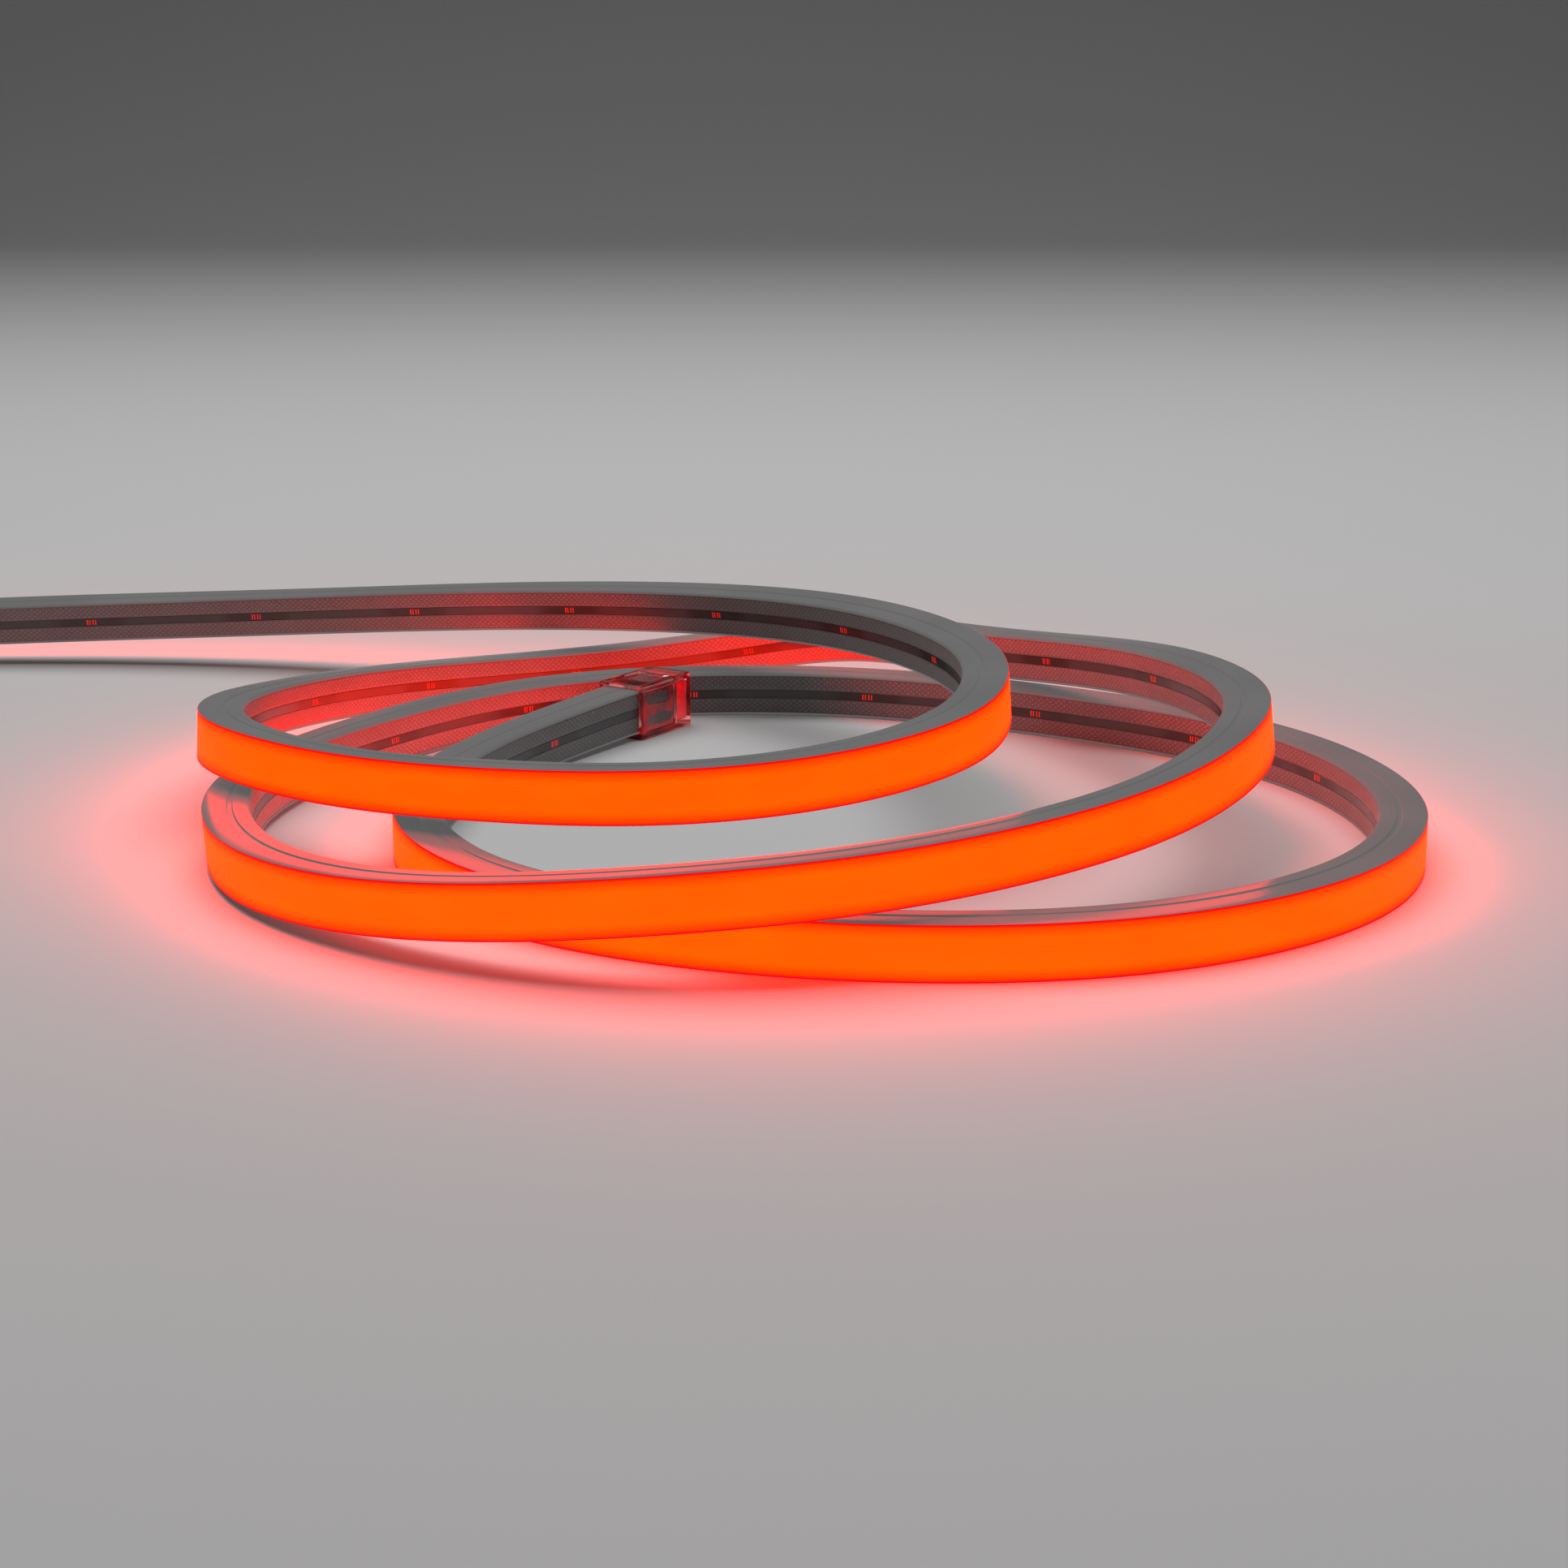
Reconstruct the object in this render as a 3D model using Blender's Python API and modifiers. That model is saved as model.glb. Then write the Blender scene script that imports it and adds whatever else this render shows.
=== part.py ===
"""LED neon flex: one length of rectangular silicone flex lying in a loose pile of loops.

Blender 4.5 script, metres, +Z up. The flex stands on its side wall with its lit face turned outwards
and its embossed back turned inwards. Each end sits in a clear moulded cap. The origin is the middle
of the visible end cap's underside, on the floor that the pile lies on.
"""

import math

import bmesh
import bpy
import numpy as np
from mathutils import Vector

# Section of the flex: its height runs along the lit face, its depth from the back to the lit face.
FLEX_HEIGHT = 0.0144
FLEX_DEPTH = 0.0131
CORNER_RADIUS = 0.0009
SIDE_WALL = 0.0008
BACK_WALL = 0.0024
GROOVE_FROM_BACK = 0.0048
GROOVE_WIDTH = 0.0016
GROOVE_DEPTH = 0.0004
STRIP_WIDTH = 0.0100
STRIP_THICKNESS = 0.0006

# End caps: a box with a socket for the flex and a solid clear block behind the socket.
CAP_WALL = 0.0015
CAP_SOCKET = 0.0205
CAP_BLOCK = 0.0075
CAP_EDGE_RADIUS = 0.0007
PANEL_RIM = 0.0022
PANEL_DEPTH = 0.0004

# Clearance between solids that touch on the real product.
FIT_GAP = 0.0003

# The caps' outer size follows from the flex, the clearance and the cap's own walls.
SOCKET_WIDTH = FLEX_DEPTH + 2 * FIT_GAP
SOCKET_HEIGHT = FLEX_HEIGHT + 2 * FIT_GAP
CAP_WIDTH = SOCKET_WIDTH + 2 * CAP_WALL
CAP_HEIGHT = SOCKET_HEIGHT + 2 * CAP_WALL
CAP_LENGTH = CAP_SOCKET + CAP_BLOCK

# The sweep: distance between the stations of the route, and the steps in a rounded corner.
STATION_STEP = 0.026
CORNER_STEPS = 2

# The way of the flex's middle line from the tail cap's mouth to the end cap, seen from above with the
# viewer towards -Y. Each point is x and y in route units, the height of the underside over the floor in
# flex heights, and how far the top leans outwards in degrees. The first point is the tail cap's mouth,
# where the cap sets the height. The end cap's middle is the origin.
ROUTE_UNIT = 0.001
ROUTE = (
    (-432, 66, 0.12, 0),
    (-384, 92, 0.03, 0),
    (-330, 106, 0.18, -2),
    (-271, 109, 0.44, -4),
    (-196, 109, 0.65, -4),
    (-131, 100, 0.90, -2),
    (-57, 76, 1.35, -3),
    (14, 38, 1.80, -6),
    (68, -15, 2.12, -8),
    (96, -73, 2.23, -7),
    (102, -124, 2.20, -4),
    (91, -162, 2.00, -3),
    (62, -187, 1.75, -3),
    (18, -201, 1.60, -3),
    (-34, -181, 1.29, -3),
    (-81, -157, 1.21, -6),
    (-111, -126, 1.24, -4),
    (-119, -84, 1.03, -2),
    (-111, -42, 0.72, 3),
    (-82, 14, 0.29, 5),
    (-10, 65, 0.05, 4),
    (34, 64, 0.47, 3),
    (74, 46, 0.98, 1),
    (101, 25, 1.06, 0),
    (135, -17, 1.37, -1),
    (165, -84, 1.87, -5),
    (173, -142, 1.88, -6),
    (157, -184, 1.63, -7),
    (106, -239, 1.36, -5),
    (64, -259, 1.17, -4),
    (14, -264, 0.90, -3),
    (-54, -238, 0.34, -1),
    (-90, -201, 0.14, 1),
    (-108, -123, 0.08, 5),
    (-78, -39, 0.00, 2),
    (-28, 13, 0.00, 0),
    (38, 28, 0.00, 0),
    (104, 11, 0.00, 0),
    (140, -10, 0.00, 0),
    (187, -52, 0.00, 0),
    (213, -113, 0.00, 0),
    (213, -159, 0.00, 0),
    (196, -202, 0.00, 0),
    (133, -251, 0.00, 0),
    (68, -258, 0.00, 0),
    (22, -247, 0.00, 0),
    (-30, -212, 0.00, 0),
    (-54, -162, 0.00, 0),
    (-48, -86, 0.00, 0),
    (-20, -32, 0.10, 0),
)
TAIL_HEADING = 32.0
END_HEADING = 57.5


def clear_scene():
    for obj in list(bpy.data.objects):
        bpy.data.objects.remove(obj, do_unlink=True)
    for collection in list(bpy.data.collections):
        bpy.data.collections.remove(collection)


def new_collection(name):
    collection = bpy.data.collections.new(name)
    bpy.context.scene.collection.children.link(collection)
    return collection


def new_material(name, colour, roughness, alpha=1.0, glow=0.0):
    """A Principled BSDF with the part's plain colour, and its own light where it is lit."""
    material = bpy.data.materials.new(name)
    material.use_nodes = True
    shader = material.node_tree.nodes["Principled BSDF"]
    shader.inputs["Base Color"].default_value = (*colour, 1.0)
    shader.inputs["Roughness"].default_value = roughness
    shader.inputs["Alpha"].default_value = alpha
    shader.inputs["Emission Color"].default_value = (*colour, 1.0)
    shader.inputs["Emission Strength"].default_value = glow
    return material


def heading_vector(degrees):
    angle = math.radians(degrees)
    return np.array([math.cos(angle), math.sin(angle), 0.0, 0.0])


def spline_slopes(distances, points, first, last):
    """Slopes at the points of a cubic spline whose second derivative is continuous and whose two
    end slopes are given."""
    count = len(points)
    matrix = np.eye(count)
    right = np.empty_like(points)
    right[0] = first
    right[-1] = last
    for i in range(1, count - 1):
        before = distances[i] - distances[i - 1]
        after = distances[i + 1] - distances[i]
        matrix[i, i - 1] = after
        matrix[i, i] = 2 * (before + after)
        matrix[i, i + 1] = before
        rise_before = (points[i] - points[i - 1]) / before
        rise_after = (points[i + 1] - points[i]) / after
        right[i] = 3 * (after * rise_before + before * rise_after)
    return np.linalg.solve(matrix, right)


def spline_at(distances, points, slopes, wanted):
    """Points of the cubic spline at the wanted distances."""
    index = np.clip(np.searchsorted(distances, wanted) - 1, 0, len(distances) - 2)
    span = (distances[index + 1] - distances[index])[:, None]
    share = (wanted - distances[index])[:, None] / span
    start, end = points[index], points[index + 1]
    leave, arrive = slopes[index] * span, slopes[index + 1] * span
    return (
        (2 * share**3 - 3 * share**2 + 1) * start
        + (share**3 - 2 * share**2 + share) * leave
        + (3 * share**2 - 2 * share**3) * end
        + (share**3 - share**2) * arrive
    )


def flex_stations():
    """Middle line of the flex from end to end: x, y, z and the outward lean in radians. The stretch
    between the cap mouths is a smooth spline that stays on the floor where it would dip under it, and
    the two ends run straight in their caps."""
    end_mouth = -heading_vector(END_HEADING) * CAP_LENGTH / 2
    route = np.array(ROUTE) * (ROUTE_UNIT, ROUTE_UNIT, FLEX_HEIGHT, math.radians(1.0))
    points = np.vstack([route, end_mouth])
    points[:, 2] += FLEX_HEIGHT / 2
    points[[0, -1], 2] = CAP_HEIGHT / 2
    distances = np.append(0.0, np.cumsum(np.linalg.norm(np.diff(points[:, :3], axis=0), axis=1)))
    slopes = spline_slopes(
        distances, points, heading_vector(TAIL_HEADING), heading_vector(END_HEADING)
    )
    count = round(distances[-1] / STATION_STEP)
    middle = spline_at(distances, points, slopes, np.linspace(0.0, distances[-1], count + 1))
    middle[:, 2] = np.maximum(middle[:, 2], FLEX_HEIGHT / 2)
    inserted = CAP_SOCKET - FIT_GAP
    first = middle[0] - heading_vector(TAIL_HEADING) * inserted
    last = middle[-1] + heading_vector(END_HEADING) * inserted
    return np.vstack([first, middle, last])


def rounded_corner(centre_x, centre_y, radius, start, end):
    """Points of an arc between two angles in degrees."""
    angles = np.radians(np.linspace(start, end, CORNER_STEPS + 1))
    return [(centre_x + radius * math.cos(a), centre_y + radius * math.sin(a)) for a in angles]


def jacket_half():
    """Upper half of the jacket's section, from the middle of the pocket's floor round to the middle
    of the back. The first number runs from the back to the lit face, the second one upwards."""
    half_height = FLEX_HEIGHT / 2
    back, front = -FLEX_DEPTH / 2, FLEX_DEPTH / 2
    pocket_floor = back + BACK_WALL
    shelf = pocket_floor + STRIP_THICKNESS + FIT_GAP
    pocket_half = STRIP_WIDTH / 2 + FIT_GAP
    inner_half = half_height - SIDE_WALL
    groove_back = back + GROOVE_FROM_BACK
    groove_front = groove_back + GROOVE_WIDTH
    groove_floor = half_height - GROOVE_DEPTH
    lip = SIDE_WALL / 2
    points = [
        (pocket_floor, pocket_half),
        (shelf, pocket_half),
        (shelf, inner_half),
        (front, inner_half),
    ]
    points += rounded_corner(front - lip, half_height - lip, lip, 0, 90)
    points += [
        (groove_front, half_height),
        (groove_front - GROOVE_DEPTH, groove_floor),
        (groove_back + GROOVE_DEPTH, groove_floor),
        (groove_back, half_height),
    ]
    points += rounded_corner(
        back + CORNER_RADIUS, half_height - CORNER_RADIUS, CORNER_RADIUS, 90, 180
    )
    return points


def jacket_section():
    half = jacket_half()
    return half + [(depth, -height) for depth, height in reversed(half)]


def diffuser_section():
    """The bar fills the jacket in front of the strip, with the fit gap at its back and sides."""
    back = -FLEX_DEPTH / 2 + BACK_WALL + STRIP_THICKNESS + 2 * FIT_GAP
    front = FLEX_DEPTH / 2
    half = FLEX_HEIGHT / 2 - SIDE_WALL - FIT_GAP
    return [(back, -half), (front, -half), (front, half), (back, half)]


def strip_section():
    back = -FLEX_DEPTH / 2 + BACK_WALL + FIT_GAP
    front = back + STRIP_THICKNESS
    half = STRIP_WIDTH / 2
    return [(back, -half), (front, -half), (front, half), (back, half)]


def section_curve(name, section, guides):
    """A section as a closed flat curve. Along a sweep its own x points to the right of the way,
    and the lit face looks to the left, so depth is counted backwards."""
    curve = bpy.data.curves.new(name, "CURVE")
    curve.dimensions = "2D"
    spline = curve.splines.new("POLY")
    spline.points.add(len(section) - 1)
    for point, (depth, height) in zip(spline.points, section):
        point.co = (-depth, height, 0.0, 1.0)
    spline.use_cyclic_u = True
    obj = bpy.data.objects.new(name, curve)
    obj.hide_render = True
    obj.display_type = "WIRE"
    guides.objects.link(obj)
    return obj


def swept(name, section, stations, material, parts, guides):
    """A section carried along the stations, standing upright but for the lean, with closed ends."""
    curve = bpy.data.curves.new(name, "CURVE")
    curve.dimensions = "3D"
    curve.twist_mode = "Z_UP"
    spline = curve.splines.new("POLY")
    spline.points.add(len(stations) - 1)
    for point, (x, y, z, lean) in zip(spline.points, stations):
        point.co = (x, y, z, 1.0)
        point.tilt = -lean
    curve.bevel_mode = "OBJECT"
    curve.bevel_object = section_curve(name + "_section", section, guides)
    curve.use_fill_caps = True
    curve.materials.append(material)
    obj = bpy.data.objects.new(name, curve)
    parts.objects.link(obj)
    return obj


def box(name, size, centre, collection):
    """A box mesh made from a cube, with its corners moved to size and place."""
    mesh = bpy.data.meshes.new(name)
    cube = bmesh.new()
    bmesh.ops.create_cube(cube, size=1.0)
    bmesh.ops.scale(cube, vec=Vector(size), verts=cube.verts)
    bmesh.ops.translate(cube, vec=Vector(centre), verts=cube.verts)
    cube.to_mesh(mesh)
    cube.free()
    obj = bpy.data.objects.new(name, mesh)
    collection.objects.link(obj)
    return obj


def cut(target, name, size, centre, cutters):
    """Cuts a box, given in the target's own axes, out of the target."""
    cutter = box(name, size, centre, cutters)
    cutter.hide_render = True
    cutter.display_type = "WIRE"
    cutter.parent = target
    modifier = target.modifiers.new(name, "BOOLEAN")
    modifier.operation = "DIFFERENCE"
    modifier.solver = "EXACT"
    modifier.object = cutter


def clear_cap(name, mouth, heading, material, parts, cutters):
    """An end cap. Its own x runs from the mouth to the closed end, its z up from the floor."""
    cap = box(
        name,
        (CAP_LENGTH, CAP_WIDTH, CAP_HEIGHT),
        (CAP_LENGTH / 2, 0.0, CAP_HEIGHT / 2),
        parts,
    )
    cap.location = (mouth[0], mouth[1], 0.0)
    cap.rotation_euler = (0.0, 0.0, math.radians(heading))
    cap.data.materials.append(material)
    bevel = cap.modifiers.new("rounded_edges", "BEVEL")
    bevel.width = CAP_EDGE_RADIUS
    bevel.segments = 2
    bevel.limit_method = "ANGLE"
    cut(
        cap,
        name + "_socket",
        (2 * CAP_SOCKET, SOCKET_WIDTH, SOCKET_HEIGHT),
        (0.0, 0.0, CAP_HEIGHT / 2),
        cutters,
    )
    panel_length = CAP_SOCKET - 2 * PANEL_RIM
    panel_middle = CAP_SOCKET / 2
    cut(
        cap,
        name + "_top_panel",
        (panel_length, CAP_WIDTH - 2 * PANEL_RIM, 2 * PANEL_DEPTH),
        (panel_middle, 0.0, CAP_HEIGHT),
        cutters,
    )
    for side, label in ((1, "left"), (-1, "right")):
        cut(
            cap,
            name + "_" + label + "_panel",
            (panel_length, 2 * PANEL_DEPTH, CAP_HEIGHT - 2 * PANEL_RIM),
            (panel_middle, side * CAP_WIDTH / 2, CAP_HEIGHT / 2),
            cutters,
        )
    return cap


def main():
    clear_scene()
    parts = new_collection("led_neon_flex")
    cutters = new_collection("cutters_and_sections")
    silicone = new_material("white_silicone", (0.80, 0.78, 0.76), 0.45)
    milky = new_material("lit_milky_silicone", (1.0, 0.20, 0.03), 0.50, glow=4.0)
    board = new_material("circuit_board", (0.75, 0.70, 0.62), 0.55)
    clear = new_material("clear_plastic", (0.92, 0.90, 0.88), 0.12, alpha=0.35)

    stations = flex_stations()
    swept("jacket", jacket_section(), stations, silicone, parts, cutters)
    swept("diffuser", diffuser_section(), stations, milky, parts, cutters)
    swept("led_strip", strip_section(), stations, board, parts, cutters)
    tail_mouth, end_mouth = stations[1], stations[-2]
    clear_cap("tail_cap", tail_mouth, TAIL_HEADING + 180.0, clear, parts, cutters)
    clear_cap("end_cap", end_mouth, END_HEADING, clear, parts, cutters)


if __name__ == "__main__":
    main()
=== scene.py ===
"""A length of lit LED neon flex in a loose pile of loops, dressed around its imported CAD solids.

The flex is rebuilt along the same route as the CAD part: silicone side walls with a clip groove, an
embossed grip on the back with a clear window along its middle, the lit milky bar, the board with its
diodes behind it, and a clear moulded cap on each end.
"""

import logging
import math
from dataclasses import dataclass, field
from enum import Enum
from typing import ClassVar

import bpy
import numpy as np
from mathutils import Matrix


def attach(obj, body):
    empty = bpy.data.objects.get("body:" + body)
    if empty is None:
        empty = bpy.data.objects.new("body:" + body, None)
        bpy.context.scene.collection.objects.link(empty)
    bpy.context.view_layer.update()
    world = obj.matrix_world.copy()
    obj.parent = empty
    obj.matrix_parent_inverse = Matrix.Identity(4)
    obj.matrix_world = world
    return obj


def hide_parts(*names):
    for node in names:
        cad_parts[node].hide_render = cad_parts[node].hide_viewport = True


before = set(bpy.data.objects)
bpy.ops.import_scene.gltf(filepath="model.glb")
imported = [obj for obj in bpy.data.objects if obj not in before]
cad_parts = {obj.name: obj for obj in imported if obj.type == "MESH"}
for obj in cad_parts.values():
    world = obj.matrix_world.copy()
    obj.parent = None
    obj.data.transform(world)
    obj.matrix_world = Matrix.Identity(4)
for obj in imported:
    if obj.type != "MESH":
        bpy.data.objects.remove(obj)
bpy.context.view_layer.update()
LOG = logging.getLogger("led_neon_flex")

BODY = "root"
MM = 0.001
SHARP_EDGE = math.radians(32.0)

# The way of the flex's middle line from the tail cap's mouth to the end cap, as the CAD part has it:
# x and y in millimetres, the height of the underside over the floor in flex heights, and how far the
# top leans outwards in degrees. The middle of the end cap's underside is the origin.
ROUTE = (
    (-432, 66, 0.12, 0), (-384, 92, 0.03, 0), (-330, 106, 0.18, -2), (-271, 109, 0.44, -4),
    (-196, 109, 0.65, -4), (-131, 100, 0.90, -2), (-57, 76, 1.35, -3), (14, 38, 1.80, -6),
    (68, -15, 2.12, -8), (96, -73, 2.23, -7), (102, -124, 2.20, -4), (91, -162, 2.00, -3),
    (62, -187, 1.75, -3), (18, -201, 1.60, -3), (-34, -181, 1.29, -3), (-81, -157, 1.21, -6),
    (-111, -126, 1.24, -4), (-119, -84, 1.03, -2), (-111, -42, 0.72, 3), (-82, 14, 0.29, 5),
    (-10, 65, 0.05, 4), (34, 64, 0.47, 3), (74, 46, 0.98, 1), (101, 25, 1.06, 0),
    (135, -17, 1.37, -1), (165, -84, 1.87, -5), (173, -142, 1.88, -6), (157, -184, 1.63, -7),
    (106, -239, 1.36, -5), (64, -259, 1.17, -4), (14, -264, 0.90, -3), (-54, -238, 0.34, -1),
    (-90, -201, 0.14, 1), (-108, -123, 0.08, 5), (-78, -39, 0.00, 2), (-28, 13, 0.00, 0),
    (38, 28, 0.00, 0), (104, 11, 0.00, 0), (140, -10, 0.00, 0), (187, -52, 0.00, 0),
    (213, -113, 0.00, 0), (213, -159, 0.00, 0), (196, -202, 0.00, 0), (133, -251, 0.00, 0),
    (68, -258, 0.00, 0), (22, -247, 0.00, 0), (-30, -212, 0.00, 0), (-54, -162, 0.00, 0),
    (-48, -86, 0.00, 0), (-20, -32, 0.10, 0),
)
TAIL_HEADING = 32.0
END_HEADING = 57.5

# Where the cut marks lie: the number of a mark from the tail, and its distance along the flex in metres.
MARKS = (
    (1, 0.0697), (4, 0.2568), (10, 0.6303), (17, 1.0575), (18, 1.1195), (19, 1.1815),
    (22, 1.3774), (23, 1.4415), (32, 2.0233), (35, 2.2072), (36, 2.2682), (47, 2.9342),
)


class Slot(Enum):
    """The record's material slots."""

    JACKET = "jacket_silicone"
    LIT = "lit_silicone"
    BOARD = "circuit_board"
    CLEAR = "clear_plastic"


@dataclass(frozen=True)
class FlexSize:
    """Sizes of the flex's section in metres, as in the CAD part, and those that only the looks need.

    The clear window lies in a channel of the back: it is window_sink deep and filled up to window_face.
    The side walls get thinner by flare between flare_start and flare_end behind the lit face, and their
    rounded front edge has the radius lip. The walls' rear land is flat for rear_flat behind the groove
    and then falls by dome to the back corner, first slowly, and faster over the last rear_fall. Small
    bevels are edge wide. The gap stands for each join, and the grip lies in a recess as deep as skin.
    """

    height: float = 14.4 * MM
    depth: float = 13.1 * MM
    corner: float = 0.9 * MM
    side_wall: float = 0.8 * MM
    back_wall: float = 2.4 * MM
    groove_from_back: float = 4.8 * MM
    groove_width: float = 1.6 * MM
    groove_depth: float = 0.3 * MM
    strip_width: float = 10.0 * MM
    strip_thickness: float = 0.6 * MM
    gap: float = 0.3 * MM
    skin: float = 0.7 * MM
    window_half: float = 1.45 * MM
    window_sink: float = 0.45 * MM
    window_face: float = 0.18 * MM
    flare: float = 0.42 * MM
    flare_start: float = 1.5 * MM
    flare_end: float = 1.1 * MM
    lip: float = 0.22 * MM
    edge: float = 0.12 * MM
    dome: float = 0.05 * MM
    rear_flat: float = 1.4 * MM
    rear_fall: float = 0.8 * MM

    @property
    def back(self) -> float:
        """Depth of the back face; depths run from the middle line towards the lit face."""
        return -self.depth / 2

    @property
    def front(self) -> float:
        """Depth of the lit face."""
        return self.depth / 2


@dataclass(frozen=True)
class CapSize:
    """Sizes of a clear end cap in metres."""

    wall: float = 1.5 * MM
    socket: float = 20.5 * MM
    block: float = 7.5 * MM
    edge: float = 0.7 * MM
    mouth_edge: float = 0.3 * MM
    inner_edge: float = 0.5 * MM
    rim: float = 2.2 * MM
    panel: float = 0.4 * MM

    @property
    def length(self) -> float:
        """Whole length of the cap."""
        return self.socket + self.block


FLEX = FlexSize()
CAP = CapSize()


@dataclass(frozen=True)
class Stations:
    """Places along the flex with the directions of its section.

    Attributes:
        middle: points of the middle line, one row each.
        ahead: unit vectors along the flex.
        outward: unit vectors from the back to the lit face.
        upward: unit vectors from the lower side wall to the upper one.
        along: distances from the tail end in metres.
    """

    middle: np.ndarray
    ahead: np.ndarray
    outward: np.ndarray
    upward: np.ndarray
    along: np.ndarray

    def at(self, wanted: np.ndarray) -> "Stations":
        """Stations at other distances, by straight interpolation and made unit length again.

        Args:
            wanted: distances from the tail end in metres.

        Returns:
            The stations at those distances.
        """

        def read(table: np.ndarray) -> np.ndarray:
            """The rows of a table at the wanted distances."""
            return np.stack([np.interp(wanted, self.along, table[:, k]) for k in range(3)], axis=1)

        return Stations(
            read(self.middle),
            unit(read(self.ahead)),
            unit(read(self.outward)),
            unit(read(self.upward)),
            np.asarray(wanted, float),
        )

    def places(self, depth: np.ndarray, height: np.ndarray) -> np.ndarray:
        """Points at a depth and height in each station's section: middle + outward x depth + upward x height.

        Args:
            depth: one row of depths for each station.
            height: one row of heights for each station.

        Returns:
            Points as (stations, columns, 3).
        """
        return (
            self.middle[:, None, :]
            + self.outward[:, None, :] * depth[..., None]
            + self.upward[:, None, :] * height[..., None]
        )


def unit(vectors: np.ndarray) -> np.ndarray:
    """Vectors divided by their lengths."""
    return vectors / np.linalg.norm(vectors, axis=1, keepdims=True)


def smooth_step(values: np.ndarray, low: float, high: float) -> np.ndarray:
    """0 below low, 1 above high, and 3t^2 - 2t^3 between them."""
    share = np.clip((values - low) / (high - low), 0.0, 1.0)
    return share * share * (3 - 2 * share)


def heading(degrees: float) -> np.ndarray:
    """A level unit vector, turned by degrees from +X towards +Y."""
    angle = math.radians(degrees)
    return np.array([math.cos(angle), math.sin(angle), 0.0])


class Route:
    """The flex's middle line: a cubic spline through the route's points, and a straight end in each cap."""

    FINE_STEP = 1.0 * MM

    def __init__(self) -> None:
        """Works out the fine stations of the whole flex."""
        cap_middle = FLEX.height / 2 + FLEX.gap + CAP.wall
        self.end_mouth = -heading(END_HEADING) * CAP.length / 2 + [0.0, 0.0, cap_middle]
        points = np.array(ROUTE, float) * (MM, MM, FLEX.height, math.radians(1.0))
        points[:, 2] += FLEX.height / 2
        points[0, 2] = cap_middle
        points = np.vstack([points, [*self.end_mouth, 0.0]])
        self.tail_mouth = points[0, :3].copy()
        line, lean = self._spline(points)
        inserted = CAP.socket - FLEX.gap
        line = np.vstack(
            [
                line[0] - heading(TAIL_HEADING) * inserted,
                line[0] - heading(TAIL_HEADING) * inserted / 2,
                line,
                line[-1] + heading(END_HEADING) * inserted / 2,
                line[-1] + heading(END_HEADING) * inserted,
            ]
        )
        lean = np.concatenate([[0.0, 0.0], lean, [0.0, 0.0]])
        self.stations = self._framed(line, lean)

    def _spline(self, points: np.ndarray) -> tuple[np.ndarray, np.ndarray]:
        """The cubic spline with a continuous second derivative through all points.

        The slopes m solve b m[i-1] + 2 (a + b) m[i] + a m[i+1] = 3 (b rise[i-1] + a rise[i]), where a and b
        are the spans before and after a point, with the two end slopes given by the caps' headings. A span
        is then the Hermite blend of its two ends. The flex is nowhere lower than the floor.

        Args:
            points: x, y, z and lean of each point of the route.

        Returns:
            The points of the line, and the lean at each in radians.
        """
        spans = np.linalg.norm(np.diff(points[:, :3], axis=0), axis=1)
        knots = np.append(0.0, np.cumsum(spans))
        before, after = spans[:-1], spans[1:]
        inner = np.arange(1, len(points) - 1)
        matrix = np.eye(len(points))
        matrix[inner, inner - 1] = after
        matrix[inner, inner] = 2 * (before + after)
        matrix[inner, inner + 1] = before
        rise = np.diff(points, axis=0) / spans[:, None]
        right = np.empty_like(points)
        right[0] = [*heading(TAIL_HEADING), 0.0]
        right[-1] = [*heading(END_HEADING), 0.0]
        right[1:-1] = 3 * (after[:, None] * rise[:-1] + before[:, None] * rise[1:])
        slopes = np.linalg.solve(matrix, right)
        wanted = np.linspace(0.0, knots[-1], round(knots[-1] / self.FINE_STEP) + 1)
        index = np.clip(np.searchsorted(knots, wanted) - 1, 0, len(spans) - 1)
        span = spans[index][:, None]
        t = (wanted - knots[index])[:, None] / span
        made = (
            (2 * t**3 - 3 * t**2 + 1) * points[index]
            + (t**3 - 2 * t**2 + t) * slopes[index] * span
            + (3 * t**2 - 2 * t**3) * points[index + 1]
            + (t**3 - t**2) * slopes[index + 1] * span
        )
        made[:, 2] = np.maximum(made[:, 2], FLEX.height / 2)
        return made[:, :3], made[:, 3]

    def _framed(self, line: np.ndarray, lean: np.ndarray) -> Stations:
        """Adds the section's directions to a line.

        Ahead is the line's slope. Outward is level and to the left of it, upward is ahead x outward, and
        both are then turned about ahead by the lean.

        Args:
            line: points of the middle line.
            lean: outward lean at each point in radians.

        Returns:
            The stations.
        """
        along = np.append(0.0, np.cumsum(np.linalg.norm(np.diff(line, axis=0), axis=1)))
        ahead = unit(np.gradient(line, along, axis=0))
        level = unit(np.stack([-ahead[:, 1], ahead[:, 0], np.zeros(len(ahead))], axis=1))
        upright = np.cross(ahead, level)
        cosine, sine = np.cos(lean)[:, None], np.sin(lean)[:, None]
        outward = level * cosine - upright * sine
        upward = upright * cosine + level * sine
        return Stations(line, ahead, outward, upward, along)


def arc(centre: tuple[float, float], radius: float, start: float, end: float, count: int) -> np.ndarray:
    """Points of an arc: centre + radius x (cos, sin) of angles from start to end in degrees."""
    angles = np.radians(np.linspace(start, end, count))
    return np.stack([centre[0] + radius * np.cos(angles), centre[1] + radius * np.sin(angles)], axis=1)


def mirrored(half: np.ndarray) -> np.ndarray:
    """A half section followed by its mirror image below, as one closed ring."""
    return np.vstack([half, half[::-1] * (1.0, -1.0)])


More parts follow.
